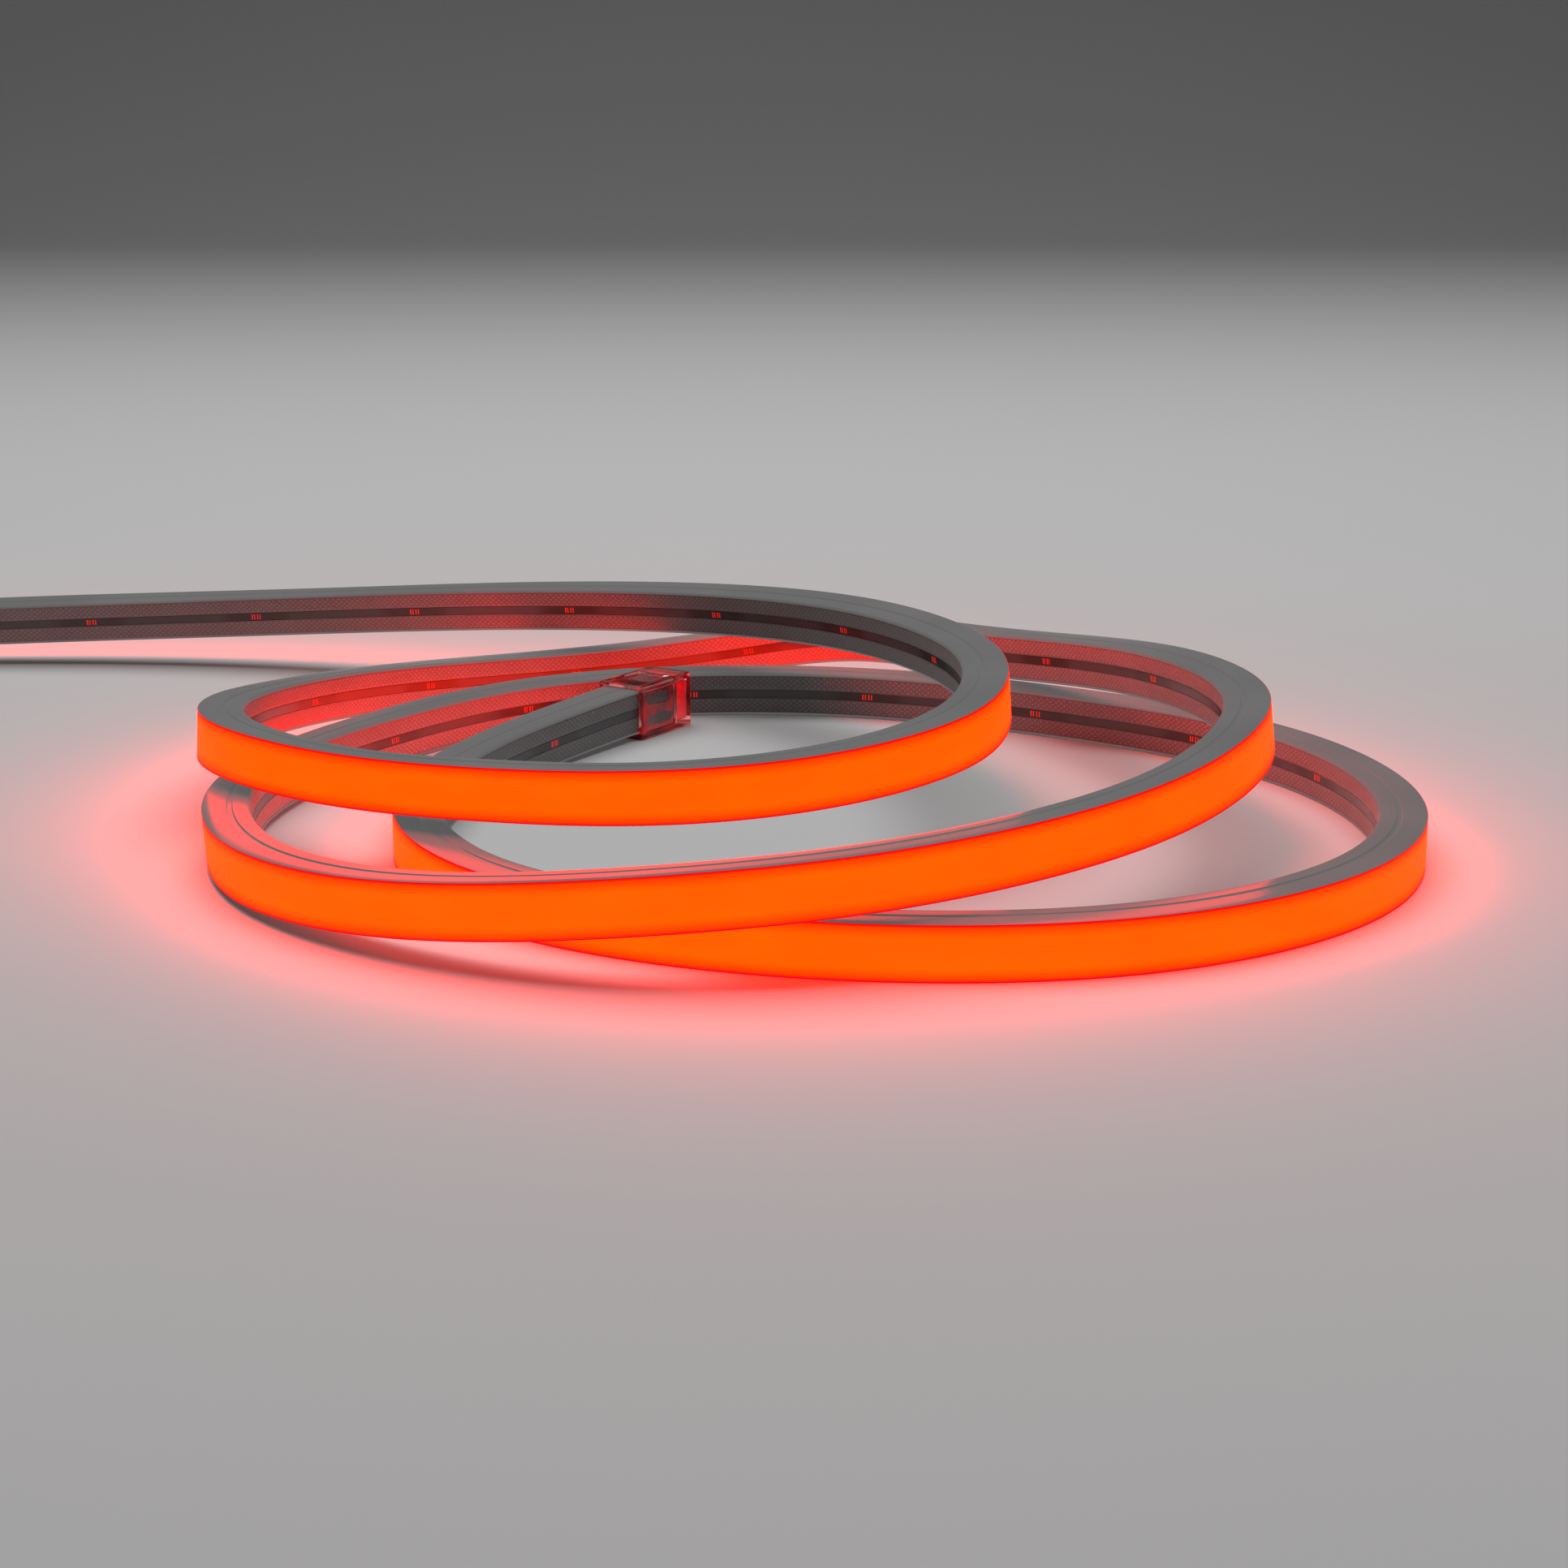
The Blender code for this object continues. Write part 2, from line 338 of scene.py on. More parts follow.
@dataclass
class Shape:
    """A mesh in the making, as whole arrays.

    Attributes:
        points: vertices, one row each.
        quads: faces with four corners.
        triangles: faces with three corners.
        rings: faces with many corners, each an array of its own.
        marks: values per vertex, by attribute name.
    """

    points: np.ndarray
    quads: np.ndarray = field(default_factory=lambda: np.empty((0, 4), int))
    triangles: np.ndarray = field(default_factory=lambda: np.empty((0, 3), int))
    rings: list = field(default_factory=list)
    marks: dict = field(default_factory=dict)


def ring_quads(stations: int, columns: int, closed: bool = True) -> np.ndarray:
    """Quads of a grid of rings: each joins a column and the next one on two rings in a row.

    Args:
        stations: number of rings.
        columns: points in a ring.
        closed: whether the last column joins the first.

    Returns:
        Corner numbers, four to a row, facing outwards where the ring runs anticlockwise about the way.
    """
    rows = np.arange(stations - 1)[:, None] * columns
    first = np.arange(columns if closed else columns - 1)[None, :]
    second = (first + 1) % columns
    return np.stack(
        [rows + first, rows + second, rows + columns + second, rows + columns + first], axis=-1
    ).reshape(-1, 4)


def tube(points: np.ndarray, marks: dict) -> Shape:
    """A row of rings joined by quads and closed by a flat face at each end.

    Args:
        points: points as (rings, columns, 3), each ring anticlockwise about the way.
        marks: values per vertex, by attribute name.

    Returns:
        The closed shape.
    """
    count, columns = points.shape[:2]
    ring = np.arange(columns)
    rings = [ring[::-1], ring + (count - 1) * columns]
    return Shape(points.reshape(-1, 3), ring_quads(count, columns), rings=rings, marks=marks)


def flex_marks(stations: Stations, depth: np.ndarray, height: np.ndarray) -> dict:
    """The attributes along, depth and height of a grid of points with a row for each station."""
    along = np.repeat(stations.along, depth.shape[1])
    return {"along": along, "depth": depth.ravel(), "height": height.ravel()}


def swept(stations: Stations, section: np.ndarray) -> Shape:
    """A closed section carried along the stations.

    Args:
        stations: where the section stands.
        section: depth and height of each point, anticlockwise.

    Returns:
        The closed shape, with the attributes along, depth and height.
    """
    depth, height = (np.tile(values, (len(stations.along), 1)) for values in section.T)
    return tube(stations.places(depth, height), flex_marks(stations, depth, height))


def blocks(
    stations: Stations, half_length: np.ndarray, depths: tuple[float, float], heights: tuple[float, float]
) -> Shape:
    """A box at each station: its corners are middle +- ahead x half length, at two depths and two heights.

    Args:
        stations: where the boxes stand.
        half_length: half of each box's length along the flex.
        depths: the lower and the higher depth.
        heights: the lower and the higher height.

    Returns:
        The boxes as one shape, with the attributes along, depth and height.
    """
    ways = np.array([(x, y, z) for x in (-1, 1) for y in (0, 1) for z in (0, 1)])
    count = len(stations.along)
    depth = np.tile(np.array(depths)[ways[:, 1]], (count, 1))
    height = np.tile(np.array(heights)[ways[:, 2]], (count, 1))
    reach = ways[:, 0][None, :] * np.asarray(half_length)[:, None]
    points = stations.places(depth, height) + stations.ahead[:, None, :] * reach[..., None]
    sides = np.array([(0, 1, 3, 2), (4, 6, 7, 5), (0, 4, 5, 1), (2, 3, 7, 6), (0, 2, 6, 4), (1, 5, 7, 3)])
    quads = (np.arange(count)[:, None, None] * len(ways) + sides[None]).reshape(-1, 4)
    marks = flex_marks(stations, depth, height)
    marks["along"] = (stations.along[:, None] + reach).ravel()
    return Shape(points.reshape(-1, 3), quads, marks=marks)


def linked(name: str, data: bpy.types.ID) -> bpy.types.Object:
    """Makes an object from a mesh, a lamp or a camera and links it to the scene."""
    obj = bpy.data.objects.new(name, data)
    bpy.context.scene.collection.objects.link(obj)
    return obj


def piece_of(shape: Shape, name: str, materials: list, smooth: bool = True) -> bpy.types.Object:
    """Puts a shape into the scene as a piece that rides on the body.

    Args:
        shape: the arrays of the mesh.
        name: the piece's name.
        materials: its materials, the first one for all faces.
        smooth: whether shallow edges are shaded round.

    Returns:
        The object.
    """
    corners = np.concatenate([shape.quads.ravel(), shape.triangles.ravel(), *shape.rings])
    sizes = np.concatenate(
        [
            np.full(len(shape.quads), 4),
            np.full(len(shape.triangles), 3),
            np.array([len(ring) for ring in shape.rings], int),
        ]
    )
    mesh = bpy.data.meshes.new(name)
    mesh.vertices.add(len(shape.points))
    mesh.vertices.foreach_set("co", shape.points.astype(np.float32).ravel())
    mesh.loops.add(len(corners))
    mesh.loops.foreach_set("vertex_index", corners.astype(np.int32))
    mesh.polygons.add(len(sizes))
    mesh.polygons.foreach_set("loop_start", (np.cumsum(sizes) - sizes).astype(np.int32))
    mesh.update(calc_edges=True)
    mesh.validate()
    for label, values in shape.marks.items():
        layer = mesh.attributes.new(label, "FLOAT", "POINT")
        layer.data.foreach_set("value", values.astype(np.float32))
    mesh.polygons.foreach_set("use_smooth", np.full(len(mesh.polygons), smooth))
    if smooth:
        mesh.set_sharp_from_angle(angle=SHARP_EDGE)
    for material in materials:
        mesh.materials.append(material)
    obj = linked(name, mesh)
    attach(obj, BODY)
    LOG.info("%s: %d faces", name, len(mesh.polygons))
    return obj


class Paint:
    """A material's nodes, written one call at a time around its Principled shader.

    Light is sent out towards other surfaces only by a material that says so.
    """

    # A Mix node has sockets of every kind; these are the places of its colour sockets.
    COLOUR_A, COLOUR_B, COLOUR_OUT = 6, 7, 2

    def __init__(self, name: str) -> None:
        """Makes the material.

        Args:
            name: its name.
        """
        self.material = bpy.data.materials.new(name)
        self.material.use_nodes = True
        self.material.cycles.emission_sampling = "NONE"
        self.tree = self.material.node_tree
        self.shader = self.tree.nodes["Principled BSDF"]

    def set(self, **values: float) -> "Paint":
        """Sets constant values on the shader's own sockets, with _ for each space of a socket's name."""
        for name, value in values.items():
            self.shader.inputs[name.replace("_", " ")].default_value = value
        return self

    def node(self, kind: str, *inputs: object, **settings: object) -> bpy.types.Node:
        """Adds a node.

        Args:
            inputs: a value or an output for each of its first inputs, or None to leave one.
            settings: properties of the node.

        Returns:
            The node.
        """
        made = self.tree.nodes.new(kind)
        for name, value in settings.items():
            setattr(made, name, value)
        for socket, value in zip(made.inputs, inputs):
            self.feed(socket, value)
        return made

    def feed(self, socket: bpy.types.NodeSocket, value: object) -> None:
        """Links an output to a socket, or sets the socket's value."""
        if isinstance(value, bpy.types.NodeSocket):
            self.tree.links.new(value, socket)
        elif value is not None:
            socket.default_value = value

    def into(self, name: str, value: bpy.types.NodeSocket) -> None:
        """Links an output to one of the shader's sockets."""
        self.tree.links.new(value, self.shader.inputs[name])

    def mark(self, name: str) -> bpy.types.NodeSocket:
        """The piece's own attribute of that name."""
        return self.node("ShaderNodeAttribute", attribute_name=name).outputs["Fac"]

    def sums(self, operation: str, *inputs: object) -> bpy.types.NodeSocket:
        """The result of a Math node."""
        return self.node("ShaderNodeMath", *inputs, operation=operation).outputs[0]

    def on_flex(self, along: float, depth: float, height: float) -> bpy.types.NodeSocket:
        """A vector of the piece's along, depth and height attributes, each times a scale per metre."""
        parts = [
            self.sums("MULTIPLY", self.mark(name), scale)
            for name, scale in (("along", along), ("depth", depth), ("height", height))
        ]
        return self.node("ShaderNodeCombineXYZ", *parts).outputs[0]

    def noise(self, vector: bpy.types.NodeSocket, scale: float, detail: float = 2.0) -> bpy.types.NodeSocket:
        """Smooth noise from 0 to 1 over a vector."""
        made = self.node("ShaderNodeTexNoise")
        self.feed(made.inputs["Vector"], vector)
        made.inputs["Scale"].default_value = scale
        made.inputs["Detail"].default_value = detail
        return made.outputs["Fac"]

    def cloud(self, scale: float, detail: float = 2.0) -> bpy.types.NodeSocket:
        """Smooth noise from 0 to 1 over the object's own coordinates."""
        return self.noise(self.node("ShaderNodeTexCoord").outputs["Object"], scale, detail)

    def span(
        self, value: bpy.types.NodeSocket, low: float, high: float, start: float = 0.0, end: float = 1.0
    ) -> bpy.types.NodeSocket:
        """Start where the value is low, end where it is high, with a smooth step between them."""
        made = self.node("ShaderNodeMapRange", value, low, high, start, end)
        made.interpolation_type = "SMOOTHSTEP"
        return made.outputs[0]

    def blend(self, factor: object, first: object, second: object) -> bpy.types.NodeSocket:
        """A colour between two colours."""
        made = self.node("ShaderNodeMix", data_type="RGBA")
        self.feed(made.inputs["Factor"], factor)
        self.feed(made.inputs[self.COLOUR_A], first)
        self.feed(made.inputs[self.COLOUR_B], second)
        return made.outputs[self.COLOUR_OUT]

    def bump(self, height: bpy.types.NodeSocket, distance: float, strength: float = 1.0) -> None:
        """Bends the shader's normal by a height."""
        made = self.node("ShaderNodeBump")
        made.inputs["Strength"].default_value = strength
        made.inputs["Distance"].default_value = distance
        self.feed(made.inputs["Height"], height)
        self.into("Normal", made.outputs["Normal"])


def grey(level: float, warm: float = 0.0) -> tuple[float, float, float, float]:
    """A grey, a little red where warm is over 0."""
    return (level * (1 + warm), level, level * (1 - warm / 2), 1.0)


@dataclass(frozen=True)
class WallSilicone:
    """Satin side walls: grey-white silicone, a little cloudy, with a faint grey glow painted on all over as
    light, and the front lip painted red and aglow as light from the bar.
    """

    light: float = 0.115
    dark: float = 0.085
    roughness: float = 0.19
    lip_glow: float = 0.8
    painted_grey_glow: float = 0.11

    def material(self) -> bpy.types.Material:
        """Builds the material.

        Returns:
            The material. The lip's glow rises over the last part of a millimetre before the lit face.
        """
        paint = Paint("wall_silicone")
        paint.set(Roughness=self.roughness, Specular_IOR_Level=0.04, Emission_Strength=self.lip_glow)
        cloud = paint.cloud(22.0, 1.0)
        colour = paint.blend(paint.span(cloud, 0.25, 0.75), grey(self.dark), grey(self.light))
        lip = paint.span(paint.mark("depth"), FLEX.front - FLEX.lip, FLEX.front - FLEX.edge / 2)
        # Painted light: the lip's colour turns red, as if lit by the bar.
        paint.into("Base Color", paint.blend(lip, colour, (self.light, 0.0, 0.0, 1.0)))
        paint.into("Roughness", paint.span(cloud, 0.3, 0.7, self.roughness - 0.01, self.roughness + 0.03))
        # Painted light: a faint even grey glow on the walls in place of light from above, and a red glow at
        # the lip.
        paint.into("Emission Color", paint.blend(lip, grey(self.painted_grey_glow), (1.0, 0.0, 0.005, 1.0)))
        return paint.material


@dataclass(frozen=True)
class GripSilicone:
    """The embossed back: translucent silicone that looks dark, painted darker in the diamonds' valleys as
    shade and lighter on their tips as light.
    """

    shaded_valley: float = 0.16
    lit_tip: float = 0.36
    roughness: float = 0.36

    def material(self) -> bpy.types.Material:
        """Builds the material.

        Returns:
            The material, lighter where the surface stands nearer to the back.
        """
        paint = Paint("grip_silicone")
        paint.set(Roughness=self.roughness, Specular_IOR_Level=0.5)
        tips = paint.span(paint.mark("depth"), FLEX.back + 0.12 * MM, FLEX.back, 0.0, 1.0)
        cloud = paint.cloud(60.0, 3.0)
        mixed = paint.sums("ADD", paint.sums("MULTIPLY", tips, 0.7), paint.sums("MULTIPLY", cloud, 0.3))
        # Painted shade in the valleys and painted light on the diamonds' tips, mixed with a little random
        # cloud.
        paint.into("Base Color", paint.blend(mixed, grey(self.shaded_valley), grey(self.lit_tip)))
        paint.into("Roughness", paint.span(tips, 0.0, 1.0, self.roughness - 0.04, self.roughness + 0.08))
        paint.bump(paint.cloud(2400.0), 0.03 * MM, 0.4)
        return paint.material


@dataclass(frozen=True)
class WindowSilicone:
    """The clear strip along the middle of the back, with the board's coat seen dimly through it."""

    level: float = 0.075
    bare: float = 0.038
    roughness: float = 0.16

    def material(self) -> bpy.types.Material:
        """Builds the material, a little cloudy, and dark where the board's coat is left off."""
        paint = Paint("window_silicone")
        paint.set(Roughness=self.roughness, Specular_IOR_Level=0.5)
        cloud = paint.cloud(35.0, 1.0)
        coat = paint.blend(cloud, grey(self.level * 0.8), grey(self.level * 1.2))
        paint.into("Base Color", paint.blend(paint.mark("patch"), coat, grey(self.bare, 0.4)))
        paint.into("Roughness", paint.span(cloud, 0.3, 0.7, self.roughness, self.roughness * 1.6))
        return paint.material


@dataclass(frozen=True)
class LitSilicone:
    """The glowing face: red light so strong that its middle looks orange, and pure red along its rims."""

    strength: float = 9.0
    shown_green: float = 0.118
    fall: float = 3.4 * MM
    rim: float = 0.5 * MM

    def material(self) -> bpy.types.Material:
        """Builds the material.

        Returns:
            The material. Green falls to a third over the outer part of the face and to nothing at its
            very rim, next to the side walls, and a faint cloudiness runs along the face.
        """
        paint = Paint("lit_silicone")
        paint.set(
            Base_Color=(0.75, 0.02, 0.0, 1.0),
            Roughness=0.55,
            Specular_IOR_Level=0.05,
            Emission_Strength=self.strength,
        )
        edge = FLEX.height / 2 - FLEX.side_wall + FLEX.flare
        off_middle = paint.sums("ABSOLUTE", paint.mark("height"))
        rim = paint.span(off_middle, edge, edge - self.rim)
        inside = paint.sums("MULTIPLY", rim, paint.span(off_middle, edge, edge - self.fall, 0.35, 1.0))
        cloud = paint.noise(paint.on_flex(45.0, 0.0, 120.0), 1.0, 3.0)
        green = self.shown_green / self.strength
        green = paint.sums("MULTIPLY", inside, paint.span(cloud, 0.2, 0.8, green * 0.92, green * 1.08))
        made = paint.node("ShaderNodeCombineColor")
        made.inputs[0].default_value = 1.0
        paint.feed(made.inputs[1], green)
        paint.into("Emission Color", made.outputs[0])
        paint.material.cycles.emission_sampling = "FRONT"
        return paint.material


@dataclass(frozen=True)
class MilkySilicone:
    """The sides, back and cut ends of the milky bar, dimmer than its face."""

    strength: float = 1.3

    def material(self) -> bpy.types.Material:
        """Builds the material, with a faint cloudiness."""
        paint = Paint("milky_silicone")
        paint.set(Roughness=0.5, Specular_IOR_Level=0.3, Emission_Strength=self.strength)
        cloud = paint.cloud(500.0, 3.0)
        paint.into("Base Color", paint.blend(cloud, (0.7, 0.05, 0.01, 1.0), (0.8, 0.09, 0.02, 1.0)))
        paint.into("Emission Color", paint.blend(cloud, (0.75, 0.0, 0.0, 1.0), (1.0, 0.004, 0.0, 1.0)))
        return paint.material


@dataclass(frozen=True)
class BoardCoat:
    """The board's white coat, seen from the back through silicone, with its copper showing faintly."""

    light: float = 0.16
    dark: float = 0.09
    copper_half: float = 2.6 * MM
    copper_fade: float = 0.3 * MM

    def material(self) -> bpy.types.Material:
        """Builds the material: a band along the board's middle is a little darker than its two edges."""
        paint = Paint("board_coat")
        paint.set(Roughness=0.5, Specular_IOR_Level=0.3)
        cloud = paint.noise(paint.on_flex(35.0, 0.0, 300.0), 1.0, 3.0)
        off_middle = paint.sums("ABSOLUTE", paint.mark("height"))
        plain = paint.span(off_middle, self.copper_half, self.copper_half + self.copper_fade)
        mixed = paint.sums("MULTIPLY", plain, paint.span(cloud, 0.2, 0.8, 0.7, 1.0))
        paint.into("Base Color", paint.blend(mixed, grey(self.dark, 0.2), grey(self.light, 0.1)))
        return paint.material


@dataclass(frozen=True)
class SlitGlow:
    """Light that comes through the slits between the solder pads of a cut mark."""

    strength: float = 0.9

    def material(self) -> bpy.types.Material:
        """Builds the material, with light that varies a little from slit to slit."""
        paint = Paint("slit_glow")
        paint.set(Base_Color=(0.3, 0.0, 0.0, 1.0), Roughness=0.4, Emission_Strength=self.strength)
        cloud = paint.cloud(700.0)
        paint.into("Emission Color", paint.blend(cloud, (0.45, 0.0, 0.0, 1.0), (1.0, 0.02, 0.0, 1.0)))
        return paint.material


@dataclass(frozen=True)
class DiodeBody:
    """The diodes' white packages with their red light."""

    strength: float = 3.0

    def material(self) -> bpy.types.Material:
        """Builds the material: white plastic that glows red on every side, a little unevenly."""
        paint = Paint("diode_body")
        paint.set(Roughness=0.4, Emission_Strength=self.strength)
        cloud = paint.cloud(900.0)
        paint.into("Base Color", paint.blend(cloud, grey(0.7, 0.03), grey(0.8, 0.02)))
        paint.into("Emission Color", paint.blend(cloud, (0.8, 0.02, 0.0, 1.0), (1.0, 0.05, 0.0, 1.0)))
        return paint.material


@dataclass(frozen=True)
class ClearPlastic:
    """The caps' clear moulded plastic, slightly uneven, with the flex's light caught in its frame."""

    roughness: float = 0.03
    glow: float = 0.09

    def material(self) -> bpy.types.Material:
        """Builds the material, with light that comes and goes along the frame."""
        paint = Paint("clear_plastic")
        paint.set(
            Base_Color=(0.86, 0.76, 0.76, 1.0),
            Roughness=self.roughness,
            IOR=1.49,
            Transmission_Weight=1.0,
            Emission_Strength=self.glow,
        )
        waves = paint.cloud(130.0)
        paint.into("Roughness", paint.span(waves, 0.3, 0.7, self.roughness, self.roughness * 2.5))
        caught = paint.span(paint.cloud(170.0, 3.0), 0.38, 0.62, 0.05, 1.0)
        share = paint.sums("MULTIPLY", caught, paint.mark("rim"))
        paint.into("Emission Color", paint.blend(share, (0.0, 0.0, 0.0, 1.0), (1.0, 0.0, 0.01, 1.0)))
        paint.bump(waves, 0.25 * MM, 0.30)
        return paint.material


@dataclass(frozen=True)
class GlueFilm:
    """The clear silicone glue in a cap, which carries the flex's red light."""

    name: str
    strength: float
    dim: float

    def material(self) -> bpy.types.Material:
        """Builds the material: cloudy, and lit more in some places than in others."""
        paint = Paint(self.name)
        paint.set(
            Base_Color=(0.12, 0.002, 0.006, 1.0),
            Roughness=0.3,
            IOR=1.41,
            Emission_Strength=self.strength,
        )
        cloud = paint.cloud(260.0, 3.0)
        share = paint.span(cloud, 0.35, 0.65, self.dim, 1.0)
        paint.into("Emission Color", paint.blend(share, (0.0, 0.0, 0.0, 1.0), (1.0, 0.0, 0.004, 1.0)))
        paint.bump(paint.cloud(700.0), 0.08 * MM, 0.5)
        return paint.material


@dataclass
class Flex:
    """The flex itself: side walls, grip, window, lit bar, board and cut marks.

    Attributes:
        stations: places along the whole flex.
        station_step: distance between two rings of the walls, the window and the bar.
        diamond_length: length of one diamond of the grip.
        diamond_rows: rows of diamonds in each of the grip's two bands.
        diamond_rise: how far a diamond's tip stands up.
        diodes_per_mark: diodes between two cut marks.
        play: gap between pieces that touch in the real flex.
        patch_half: half length of the bare patch at a cut mark.
        patch_fade: length over which a patch fades out.
        slit_half: half height of the slits in a cut mark.
        channel_half: half height of the bar's channel for the diodes.
        channel_depth: depth of that channel.
        diode_half: half length and half height of a diode.
        diode_thickness: how far a diode stands up from the board.
        pieces: the objects, once they are built.
    """

    # The first side of the bar's section that belongs to its lit face.
    FIRST_LIT: ClassVar[int] = 5
    # A cut mark's slits: the distance of each from the mark and its half width, in millimetres.
    SLITS: ClassVar[tuple] = ((-1.55, 0.20), (-0.65, 0.17), (0.55, 0.19), (1.50, 0.16))

    stations: Stations
    station_step: float = 2.6 * MM
    diamond_length: float = 2.12 * MM
    diamond_rows: int = 3
    diamond_rise: float = 0.15 * MM
    diodes_per_mark: int = 7
    play: float = 0.03 * MM
    patch_half: float = 9.0 * MM
    patch_fade: float = 6.0 * MM
    slit_half: float = 0.9 * MM
    channel_half: float = 2.0 * MM
    channel_depth: float = 1.2 * MM
    diode_half: tuple[float, float] = (1.4 * MM, 1.5 * MM)
    diode_thickness: float = 0.8 * MM
    pieces: list = field(default_factory=list)

    @property
    def total(self) -> float:
        """Length of the flex."""
        return float(self.stations.along[-1])

    def stepped(self, step: float, inset: float = 0.0) -> Stations:
        """Stations about step apart over the whole flex, but for an inset at each end."""
        count = round(self.total / step) + 1
        return self.stations.at(np.linspace(inset, self.total - inset, count))

    def middles(self) -> np.ndarray:
        """The middle of each of the walls' rings."""
        return self.stepped(self.station_step).middle

    def wall_section(self) -> np.ndarray:
        """The jacket's closed section.

        Returns:
            Depth and height of each point, from the pocket's floor along the upper inner wall, over the
            rounded lip, the flat land, the clip groove and the slightly domed rear land to the rounded
            back corner and the recess for the grip, and then the same mirrored.
        """
        top = FLEX.height / 2
        pocket = FLEX.back + FLEX.back_wall
        shelf = pocket + FLEX.strip_thickness + FLEX.gap
        inner = top - FLEX.side_wall
        flared = inner + FLEX.flare
        groove_back = FLEX.back + FLEX.groove_from_back
        groove_front = groove_back + FLEX.groove_width
        lip, edge = FLEX.lip, FLEX.edge
        floor = top - FLEX.groove_depth
        rear = top - FLEX.corner - FLEX.dome
        half = np.vstack(
            [
                [(pocket, FLEX.strip_width / 2 + FLEX.gap)],
                [(shelf, FLEX.strip_width / 2 + FLEX.gap), (shelf, inner)],
                [(FLEX.front - FLEX.flare_start, inner), (FLEX.front - FLEX.flare_end, flared)],
                [(FLEX.front - edge, flared), (FLEX.front - edge / 4, flared + edge / 2)],
                arc((FLEX.front - lip, top - lip), lip, 0, 90, 5),
                [(FLEX.front - 2 * FLEX.flare_start, top), (groove_front + edge, top)],
                [(groove_front, top - edge), (groove_front - edge, floor + edge / 3)],
                [(groove_front - 2 * edge, floor), (groove_back + 2 * edge, floor)],
                [(groove_back + edge, floor + edge / 3), (groove_back, top - edge)],
                [(groove_back - edge, top), (groove_back - FLEX.rear_flat, top)],
                [(FLEX.back + FLEX.corner + FLEX.rear_fall, top - 0.4 * FLEX.dome)],
                arc((FLEX.back + FLEX.corner, rear), FLEX.corner, 90, 180, 6),
                [(FLEX.back + FLEX.skin, rear)],
            ]
        )
        return mirrored(half)

    def grip(self) -> Shape:
        """The embossed skin in the jacket's back, with a sunken channel along its middle.

        The two bands are grids of half diamonds. A point of the grid stands up by the diamond's rise
        where its column and row add up to an odd number, and each cell is cut between its two low
        corners, so that every diamond is a pyramid with four faces and the valleys are straight lines.
        The channel, the edges and the inner side are plain quads between the same stations.

        Returns:
            The closed shape. A ring runs from the inner upper corner over the upper band to the channel,
            and then the same mirrored.
        """
        count = 2 * round(self.total / self.diamond_length) + 1
        stations = self.stations.at(np.linspace(0.0, self.total, count))
        edge = FLEX.height / 2 - FLEX.corner - FLEX.dome - self.play
        cells = 2 * self.diamond_rows
        band = np.linspace(edge, FLEX.window_half, cells + 1)
        upper = np.concatenate([[edge], band, [FLEX.window_half]])
        columns = np.arange(-1, cells + 2)
        odd = (np.arange(count)[:, None] + columns[None, :]) % 2 == 1
        half = np.full(odd.shape, FLEX.back + self.diamond_rise)
        half[:, 0] = FLEX.back + FLEX.skin - self.play
        half[:, -1] = FLEX.back + FLEX.window_sink
        half -= (odd & (columns > 0) & (columns < cells)) * self.diamond_rise
        depth, odd = (np.hstack([values, values[:, ::-1]]) for values in (half, odd))
        height = np.tile(np.concatenate([upper, -upper[::-1]]), (count, 1))
        shape = tube(stations.places(depth, height), flex_marks(stations, depth, height))
        quads = shape.quads.reshape(count - 1, -1, 4)
        bands = np.r_[1 : cells + 1, cells + 4 : 2 * cells + 4]
        turned = np.where(odd[:-1, bands, None], np.roll(quads[:, bands], -1, axis=-1), quads[:, bands])
        shape.triangles = turned[..., [[0, 1, 2], [0, 2, 3]]].reshape(-1, 3)
        shape.quads = np.delete(quads, bands, axis=1).reshape(-1, 4)
        return shape

    def window(self) -> Shape:
        """The clear strip in the channel: a thin rectangle with its outer corners cut off.

        Returns:
            The strip, with the attribute patch, which is 1 round each cut mark and 0 elsewhere.
        """
        floor = FLEX.back + FLEX.window_sink - self.play
        face = FLEX.back + FLEX.window_face
        half = FLEX.window_half - self.play
        section = mirrored(np.array([(floor, half), (face + 0.1 * MM, half), (face, half - 0.15 * MM)]))
        shape = swept(self.stepped(self.station_step), section)
        away = np.abs(shape.marks["along"][:, None] - self.mark_places()[None, :]).min(axis=1)
        shape.marks["patch"] = smooth_step(-away, -self.patch_half - self.patch_fade, -self.patch_half)
        return shape

    def mark_places(self) -> np.ndarray:
        """Distances of the cut marks, read between the known ones, leaving out any in a cap."""
        known = np.array(MARKS)
        return np.interp(np.arange(known[0, 0], known[-1, 0] + 1), known[:, 0], known[:, 1])

    def slits(self) -> Shape:
        """Four narrow upright slits in each patch, the middle gap a little wider."""
        marks = self.mark_places()
        LOG.info("cut marks: %d", len(marks))
        offsets, half_widths = np.array(self.SLITS).T * MM
        places = (marks[:, None] + offsets[None, :]).ravel()
        halves = np.tile(half_widths, len(marks))
        face = FLEX.back + FLEX.window_face
        depths = (face - self.play / 2, face + self.play)
        return blocks(self.stations.at(places), halves, depths, (-self.slit_half, self.slit_half))

    def bar_section(self) -> np.ndarray:
        """The lit bar's closed section, with a slight dome on its face and a channel for the diodes."""
        back = FLEX.back + FLEX.back_wall + FLEX.strip_thickness + 2 * FLEX.gap
        half = FLEX.height / 2 - FLEX.side_wall - self.play
        flared = half + FLEX.flare
        rows = np.array(
            [
                (back + self.channel_depth, self.channel_half),
                (back, self.channel_half),
                (back, half),
                (FLEX.front - FLEX.flare_start, half),
                (FLEX.front - FLEX.flare_end, flared),
                (FLEX.front - FLEX.edge, flared),
                (FLEX.front - 0.05 * MM, flared - 0.25 * MM),
                (FLEX.front - 0.01 * MM, flared - 1.0 * MM),
                (FLEX.front, half * 0.55),
                (FLEX.front, half * 0.2),
            ]
        )
        return mirrored(rows)[::-1]

